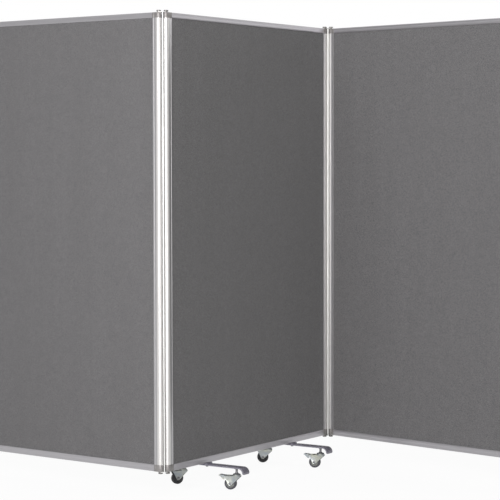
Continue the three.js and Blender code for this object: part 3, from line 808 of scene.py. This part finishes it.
def fork_plate(braked):
    """The folded plate, trimmed round the axle's eye; a braked one is open on top, behind its head."""
    bm = fork_section()
    bmesh.ops.translate(bm, vec=(FORK_FRONT * mm, 0, 0), verts=bm.verts)
    whole = FORK_REAR - FORK_FRONT + 1
    before_window = HEAD + 0.3 - FORK_FRONT
    tips = extruded(bm, list(bm.faces), ((before_window if braked else whole) * mm, 0, 0))
    if braked:
        legs = [face for face in tips if abs(face.calc_center_median().y) > (FORK_HALF - FORK_BEND) * mm]
        extruded(bm, legs, ((whole - before_window) * mm, 0, 0))
    bmesh.ops.recalc_face_normals(bm, faces=bm.faces)
    eye = Vector((TRAIL, AXLE_HEIGHT))
    to_front = Vector((FORK_FRONT, FORK_TOP - SKIRT)) - eye
    to_rear = Vector((FORK_REAR, FORK_TOP - SKIRT / 2)) - eye
    front_angle = math.atan2(to_front.y, to_front.x) + math.acos(EYE / to_front.length)
    rear_angle = 2 * math.pi + math.atan2(to_rear.y, to_rear.x) - math.acos(EYE / to_rear.length)
    for k in range(EYE_CUTS + 1):
        angle = front_angle + (rear_angle - front_angle) * k / EYE_CUTS
        normal = (math.cos(angle), 0, math.sin(angle))
        trimmed(bm, (TRAIL + EYE * normal[0], 0, AXLE_HEIGHT + EYE * normal[2]), normal)
    bmesh.ops.remove_doubles(bm, verts=bm.verts, dist=0.01 * mm)
    return bm


def pressed_legs(bm):
    """Presses a shallow panel into the outside of each leg, which leaves a stiffening rim."""
    for side in (-1, 1):
        flat = [face for face in bm.faces if face.normal.y * side > 0.99
                and abs(face.calc_center_median().y) > (FORK_HALF - 0.3) * mm]
        if flat:
            bmesh.ops.inset_region(bm, faces=flat, thickness=RIM * mm, depth=0, use_even_offset=True)
            sunk = {point for face in flat for point in face.verts}
            bmesh.ops.translate(bm, vec=(0, -side * PRESSED * mm, 0), verts=list(sunk))
    return bm


axle_place = Matrix.Translation((TRAIL * mm, 0, AXLE_HEIGHT * mm))


def axle_rivet():
    """A rod across both legs, with a riveted end outside each."""
    half = FORK_HALF + RIVET_HEIGHT
    end = [
        (0, -half), (2.0, -half), (2.3, -half + 0.4), (3.6, -half + 0.2), (5.4, -half + 0.8),
        (6, -FORK_HALF + 0.5),
    ]
    other_end = [(radius, -height) for radius, height in reversed(end)]
    profile = [*end, (4, -FORK_HALF + 0.5), (4, FORK_HALF - 0.5), *other_end]
    return moved(turned(profile, 24), axle_place @ ON_ITS_SIDE)


def swivel_head():
    """A ball race's cup under a domed cover, open for the stem."""
    race = [
        (5.3, FORK_TOP - 2.5), (HEAD - 1.2, FORK_TOP - 2.5), (HEAD, FORK_TOP - 1.8), (HEAD, FORK_TOP + 1.4),
        (HEAD - 0.6, FORK_TOP + 2), (HEAD - 2.2, FORK_TOP + 2.1), (HEAD - 2.2, FORK_TOP + 2.8),
    ]
    dome = [
        (HEAD - 0.3, FORK_TOP + 2.9), (HEAD, FORK_TOP + 3.5), (HEAD - 0.5, FORK_TOP + 4.6),
        (HEAD - 2.2, FORK_TOP + 6.2), (HEAD - 5, FORK_TOP + 7.3), (HEAD - 8, FORK_TOP + 7.9),
        (7, HEAD_TOP), (5.3, HEAD_TOP),
    ]
    return turned([*race, *dome, race[0]], 40)


for castor in CASTORS:
    braked = f"{castor}_brake_pedal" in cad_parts
    plate = softened(pressed_legs(fork_plate(braked)), 0.35 * mm, 50, 1)
    bm = joined(plate, swivel_head())
    new_piece(f"{castor}_pressed_fork", moved(bm, castor_seat[castor]), zinc_plate, f"{castor}_swivel",
              "zinc_castor", f"{castor}_fork")
    new_piece(f"{castor}_axle_rivet", moved(axle_rivet(), castor_seat[castor]), bright_zinc,
              f"{castor}_swivel", "zinc_castor", f"{castor}_fork")
print("forks done")

# %% [markdown]
# ### Wheels
# A tyre with a crowned tread and rounded shoulders sits on a hub with a raised rim, a dished web and a boss
# round the axle. Both are turned. They are two pieces on the wheel's body, because rubber and moulding
# differ in colour and shine. The front wheels are grey and the others black, as in the photograph.

# %% Wheels
tyre_profile = [
    (16.2, -8.3), (18.0, -9.3), (21.2, -9.4), (23.2, -8.6), (24.4, -6.6), (TYRE_RADIUS, -3.6),
    (TYRE_RADIUS, 0), (TYRE_RADIUS, 3.6), (24.4, 6.6), (23.2, 8.6), (21.2, 9.4), (18.0, 9.3),
    (16.2, 8.3), (16.2, -8.3),
]
hub_face = [
    (4.4, 8.6), (6.4, 8.6), (6.8, 8.1), (7.2, 6.4), (9, 5.9), (12.6, 5.9), (13.6, 6.6), (14.2, 8.4),
    (14.9, 8.8), (16.1, 8.6),
]
hub_profile = [*hub_face, *((radius, -width) for radius, width in reversed(hub_face)), hub_face[0]]
for castor in CASTORS:
    grey = "front" in castor
    place = castor_seat[castor] @ axle_place @ ON_ITS_SIDE
    tyre_rubber, hub_moulding = (grey_rubber, grey_hub) if grey else (dark_rubber, dark_hub)
    slot_name = "grey_wheel" if grey else "black_wheel"
    tyre = moved(turned(tyre_profile, 56), place)
    hub = moved(turned(hub_profile, 40), place)
    node, body = f"{castor}_wheel", f"{castor}_wheel_body"
    new_piece(f"{castor}_tyre", tyre, tyre_rubber, body, slot_name, node)
    new_piece(f"{castor}_hub", hub, hub_moulding, body, slot_name, node)
print("wheels done")

# %% [markdown]
# ### Stems and locknuts
# The stem goes up through the foot, or into the wing's rail. A locknut under the seat stops it turning, and
# a collar keeps it off the head. The nut is a six-sided outline, drawn out and bevelled.

# %% Stems and locknuts
FOOT_UNDERSIDE = 87.7
RAIL_UNDERSIDE = 98.0
NUT_BELOW_SEAT = 4.3
NUT_HEIGHT = 4 * mm
NUT_RADIUS = 9 * mm
for castor, body in CASTORS.items():
    low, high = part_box(f"{castor}_stem")
    seat_height = FOOT_UNDERSIDE if body == "middle_panel" else RAIL_UNDERSIDE
    bottom, top = low.z / mm, high.z / mm
    stem = turned([
        (0, bottom), (6.5, bottom), (8, bottom + 0.8), (8, bottom + 1.8), (5, bottom + 1.8),
        (5, HEAD_TOP + 0.3), (7.1, HEAD_TOP + 0.3), (7.5, HEAD_TOP + 0.8), (7.5, HEAD_TOP + 1.9),
        (7.1, HEAD_TOP + 2.3), (5, HEAD_TOP + 2.3), (5, top - 0.6), (4.4, top), (0, top),
    ], 28)
    nut = bmesh.new()
    bmesh.ops.create_circle(nut, cap_ends=True, radius=NUT_RADIUS, segments=6)
    softened(drawn_out(nut, NUT_HEIGHT), 0.5 * mm, 40)
    moved(nut, Matrix.Translation((0, 0, (seat_height - NUT_BELOW_SEAT) * mm)))
    bm = moved(joined(stem, nut), castor_seat[castor])
    new_piece(f"{castor}_threaded_stem", bm, bright_zinc, body, "zinc_hardware", f"{castor}_stem")
print("stems done")

# %% [markdown]
# ### Brake pedals
# The two front castors have a pedal that tips on a pin between the fork's legs. It is a pressed plate that
# widens to a tread with a turned-down lip and three ribs. A grid is bent to that shape and gets its wall
# from an extrusion; the arms that carry it are a drawn-out side outline with a shoe that meets the tyre.

# %% Brake pedals, sizes in millimetres; a share is of the tread's length or half width
PIN_AHEAD = 12
PIN_DROP = 3.5
ARM_HALF = 11.0
TREAD_HALF = 13
TREAD_WALL = 1.8
TREAD_START = 12
TREAD_LENGTH = 25
TREAD_LEVEL = 3.4
TREAD_RISE = 2.0
RISE_SHARE = 0.5
CROWN_HEIGHT = 0.6
WIDENING_SHARE = 0.35
TAPER_START = 0.75
TAPER = 3.2
LIP_START = 0.82
LIP_SHARE = 0.18
LIP_DROP = 3.2
RIBS = 3
FIRST_RIB = 0.25
RIB_HEIGHT = 0.7
RIBS_FROM, RIBS_TO = 0.15, 0.85
RIBS_ACROSS = 0.75
CHEEK_WALL = 1.6 * mm
PIN_HEIGHT = FORK_TOP - PIN_DROP - AXLE_HEIGHT
cheek_outline = [
    (25.5, 32.6, 0.5), (22.5, 20, 1), (27, 15.5, 2), (33, 21, 3), (44.5, 31.5, 1), (44.5, 33.6, 0.5),
    (38, 34.4, 1),
]
arm_outline = [
    (-3, 2, 1), (-3, -2, 1), (3, -2.5, 0.5), (5.4, -6.8, 0.6), (8, -5, 0.6), (14, 1.6, 1),
    (14, 3.4, 0.6), (5, 2.4, 1),
]


def tread_shape(u, v):
    """A point of the tread, u from the arms to the lip and v across, in millimetres from the pin."""
    half = ARM_HALF + (TREAD_HALF - ARM_HALF) * min(u / WIDENING_SHARE, 1)
    if u > TAPER_START:
        half -= TAPER * ((u - TAPER_START) / (1 - TAPER_START)) ** 2
    height = TREAD_LEVEL + TREAD_RISE * min(u / RISE_SHARE, 1) + CROWN_HEIGHT * (1 - v * v)
    height -= LIP_DROP * max(u - LIP_START, 0) / LIP_SHARE
    if RIBS_FROM < u < RIBS_TO and abs(v) < RIBS_ACROSS:
        height += RIB_HEIGHT * max(math.cos((u - FIRST_RIB) * 2 * RIBS * math.pi), 0)
    return Vector((TREAD_START + TREAD_LENGTH * u, v * half, height)) * mm


def pedal_cheek(side):
    """One of the plates that reach down beside the tyre."""
    cheek = rounded_outline([(x - PIN_AHEAD, z - PIN_HEIGHT, radius) for x, z, radius in cheek_outline], 3)
    drawn_out(cheek, CHEEK_WALL)
    softened(cheek, 0.3 * mm, 60, 1)
    out = side * (TREAD_HALF * mm - CHEEK_WALL / 2) + CHEEK_WALL / 2
    return moved(cheek, Matrix.Translation((0, out, 0)) @ ON_ITS_SIDE)


def brake_pedal():
    """Tread, arm with shoe, pin and cheeks, about the pin."""
    tread = bmesh.new()
    bmesh.ops.create_grid(tread, x_segments=30, y_segments=12, size=1)
    for point in tread.verts:
        point.co = tread_shape((point.co.x + 1) / 2, point.co.y)
    bmesh.ops.recalc_face_normals(tread, faces=tread.faces)
    extruded(tread, list(tread.faces), (0, 0, -TREAD_WALL * mm))
    bmesh.ops.recalc_face_normals(tread, faces=tread.faces)
    arm = drawn_out(rounded_outline(arm_outline, 3), 2 * ARM_HALF * mm)
    softened(arm, 0.5 * mm, 60)
    moved(arm, ON_ITS_SIDE @ Matrix.Translation((0, 0, -ARM_HALF * mm)))
    pin = turned([
        (0, -FORK_HALF), (1.6, -FORK_HALF), (2, -FORK_HALF + 0.4),
        (2, FORK_HALF - 0.4), (1.6, FORK_HALF), (0, FORK_HALF),
    ], 20)
    moved(pin, ON_ITS_SIDE)
    return joined(tread, arm, pin, *(pedal_cheek(side) for side in SIDES.values()))


pedal_pin_place = Matrix.Translation(((TRAIL + PIN_AHEAD) * mm, 0, (FORK_TOP - PIN_DROP) * mm))


for castor in CASTORS:
    node = f"{castor}_brake_pedal"
    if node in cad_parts:
        bm = moved(brake_pedal(), castor_seat[castor] @ pedal_pin_place)
        new_piece(f"{node}_plate", bm, zinc_plate, f"{node}_body", "zinc_castor", node)
print("pedals done")

# %% [markdown]
# ## Floor and light
# The photograph shows the screen cut out on white. A pale floor keeps a faint shadow under the castors. Light
# Path tells who asks: the world is white to the camera, a bit over half as bright in reflections, and only a
# faint grey where it lights the cloth. The floor is nearly white to the camera and in reflections. Two large
# lamps on the left light the left wing and the noses, a strip and a lamp over the wing shape the metal, one
# hangs overhead, and two stand behind.

# %% Floor
FLOOR_SIZE = 60
FLOOR_PALE, FLOOR_DARK = (0.62, 0.62, 0.62), (0.58, 0.58, 0.58)
PAPER_TO_CAMERA = 0.88
PAPER_TO_REFLECTIONS = 0.8


def scaled_down(owner, ray, share):
    """A Light Path answer, brought down to a share."""
    scaled = add_node(owner, "ShaderNodeMath", operation="MULTIPLY")
    scaled.inputs[1].default_value = share
    wire(owner, ray, scaled.inputs[0])
    return scaled.outputs["Value"]


floor_finish, floor_shader = plain_finish("studio_floor", 0.9)
floor_tone = noise_on(floor_finish, object_place(floor_finish), 3)
floor_grey = mixed_colour(floor_finish, floor_tone, FLOOR_DARK, FLOOR_PALE)
wire(floor_finish, floor_grey, floor_shader.inputs["Base Color"])
paper = add_node(floor_finish, "ShaderNodeEmission", Strength=1.06)
seen = add_node(floor_finish, "ShaderNodeLightPath")
in_reflections = scaled_down(floor_finish, seen.outputs["Is Glossy Ray"], PAPER_TO_REFLECTIONS)
paper_share = add_node(floor_finish, "ShaderNodeMath", operation="MULTIPLY_ADD")
paper_share.inputs[1].default_value = PAPER_TO_CAMERA
wire(floor_finish, seen.outputs["Is Camera Ray"], paper_share.inputs[0])
wire(floor_finish, in_reflections, paper_share.inputs[2])
blend = add_node(floor_finish, "ShaderNodeMixShader")
wire(floor_finish, paper_share.outputs["Value"], blend.inputs["Fac"])
wire(floor_finish, floor_shader.outputs["BSDF"], blend.inputs[1])
wire(floor_finish, paper.outputs["Emission"], blend.inputs[2])
wire(floor_finish, blend.outputs["Shader"], floor_finish.node_tree.nodes["Material Output"].inputs["Surface"])
bm = bmesh.new()
bmesh.ops.create_grid(bm, x_segments=1, y_segments=1, size=FLOOR_SIZE / 2)
floor_mesh = bpy.data.meshes.new("floor")
bm.to_mesh(floor_mesh)
bm.free()
floor_mesh.materials.append(floor_finish)
floor = bpy.data.objects.new("floor", floor_mesh)
bpy.context.scene.collection.objects.link(floor)
print("floor", FLOOR_SIZE, "m wide")

# %% World
FILL_STRENGTH = 0.12
WHITE_IN_REFLECTIONS = 0.58


def larger_of(owner, first, second):
    """The larger of two answers."""
    larger = add_node(owner, "ShaderNodeMath", operation="MAXIMUM")
    wire(owner, first, larger.inputs[0])
    wire(owner, second, larger.inputs[1])
    return larger.outputs["Value"]


bpy.context.scene.view_settings.view_transform = "Standard"
world = bpy.data.worlds.new("studio")
bpy.context.scene.world = world
world.use_nodes = True
fill = world.node_tree.nodes["Background"]
fill.inputs["Color"].default_value = (1, 1, 1, 1)
fill.inputs["Strength"].default_value = FILL_STRENGTH
white = add_node(world, "ShaderNodeBackground", Color=(1, 1, 1, 1), Strength=1.0)
seen = add_node(world, "ShaderNodeLightPath")
dimmed = scaled_down(world, seen.outputs["Is Glossy Ray"], WHITE_IN_REFLECTIONS)
white_share = larger_of(world, seen.outputs["Is Camera Ray"], dimmed)
white_share = larger_of(world, white_share, seen.outputs["Is Transmission Ray"])
choice = add_node(world, "ShaderNodeMixShader")
wire(world, white_share, choice.inputs["Fac"])
wire(world, fill.outputs["Background"], choice.inputs[1])
wire(world, white.outputs["Background"], choice.inputs[2])
wire(world, choice.outputs["Shader"], world.node_tree.nodes["World Output"].inputs["Surface"])
print("world fill", FILL_STRENGTH)

# %% Lamps
# Each standing lamp: azimuth, distance, width, height, height of its lower edge, watts, colour
STANDING_LAMPS = {
    "key": (-68, 6.0, 4.0, 4.4, 0.1, 215, (1.0, 0.975, 0.95)),
    "side": (-88, 6.0, 4.0, 4.4, 0.1, 96, (0.96, 0.96, 1.0)),
    "strip": (-42, 6.0, 1.0, 3.8, 0.1, 12, (1, 1, 1)),
    "over_the_wing": (56, 7.0, 4.0, 2.2, 2.0, 26, (1, 1, 1)),
    "back": (165, 7.0, 3.0, 3.0, 0.1, 70, (1, 1, 1)),
    "back_right": (110, 7.0, 3.0, 3.0, 0.1, 70, (1, 1, 1)),
}


def around(azimuth, distance, height):
    """A place round the screen; azimuth 0 stands in front of the middle panel, minus to its left."""
    turn = math.radians(azimuth)
    return Vector((distance * math.sin(turn), -distance * math.cos(turn), height))


def soft_lamp(name, place, aim, width, height, watts, colour=(1, 1, 1)):
    """A rectangular lamp that faces the point that it aims at."""
    data = bpy.data.lights.new(name, "AREA")
    data.shape = "RECTANGLE"
    data.size = width
    data.size_y = height
    data.energy = watts
    data.color = colour
    lamp = bpy.data.objects.new(name, data)
    bpy.context.scene.collection.objects.link(lamp)
    turned_to = (aim - place).to_track_quat("-Z", "Y").to_matrix().to_4x4()
    lamp.matrix_world = Matrix.Translation(place) @ turned_to


for name, (azimuth, distance, width, height, lower_edge, watts, colour) in STANDING_LAMPS.items():
    level = lower_edge + height / 2
    place = around(azimuth, distance, level)
    soft_lamp(name, place, Vector((0, 0, level)), width, height, watts, colour)
soft_lamp("overhead", Vector((0, 0, 5.0)), Vector((0, 0, 0)), 4.0, 4.0, 88)
